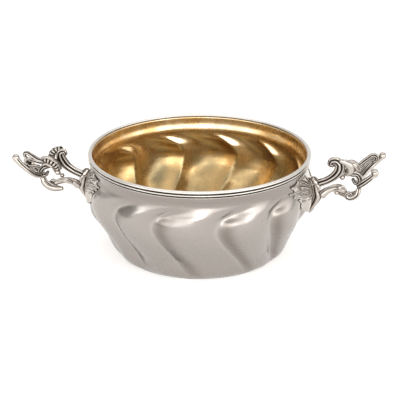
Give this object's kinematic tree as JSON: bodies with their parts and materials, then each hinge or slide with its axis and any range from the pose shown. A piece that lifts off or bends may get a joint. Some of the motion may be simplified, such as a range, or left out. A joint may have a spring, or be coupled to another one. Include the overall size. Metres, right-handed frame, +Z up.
{
  "type": "two-handled serving bowl",
  "caption": "Round silver serving bowl with twisted lobes, a gilded inside, a moulded rim and two cast leaf-scroll handles.",
  "frame": {"origin": "centre of the base, on the plane that the bowl stands on", "axes": "+Z up out of the bowl, X along the line of the two handles, Y across them"},
  "size_m": [0.3016, 0.183, 0.0838],
  "materials": {
    "gilded_bowl": "polished silver outside, gilded inside",
    "polished_silver": "polished silver",
    "cast_silver": "cast and chased silver, darkened in the recesses"
  },
  "bodies": {
    "root": {"bowl_body": "gilded_bowl", "rim_moulding": "polished_silver", "leaf_plate_right": "cast_silver", "handle_foot_right": "cast_silver", "upper_arm_right": "cast_silver", "lower_arm_right": "cast_silver", "crest_front_right": "cast_silver", "crest_back_right": "cast_silver", "fork_scroll_right": "cast_silver", "grip_leaf_right": "cast_silver", "upper_leaf_right": "cast_silver", "bud_stem_right": "cast_silver", "lower_leaf_right": "cast_silver", "leaf_plate_left": "cast_silver", "handle_foot_left": "cast_silver", "upper_arm_left": "cast_silver", "lower_arm_left": "cast_silver", "crest_front_left": "cast_silver", "crest_back_left": "cast_silver", "fork_scroll_left": "cast_silver", "grip_leaf_left": "cast_silver", "upper_leaf_left": "cast_silver", "bud_stem_left": "cast_silver", "lower_leaf_left": "cast_silver"}
  },
  "joints": []
}
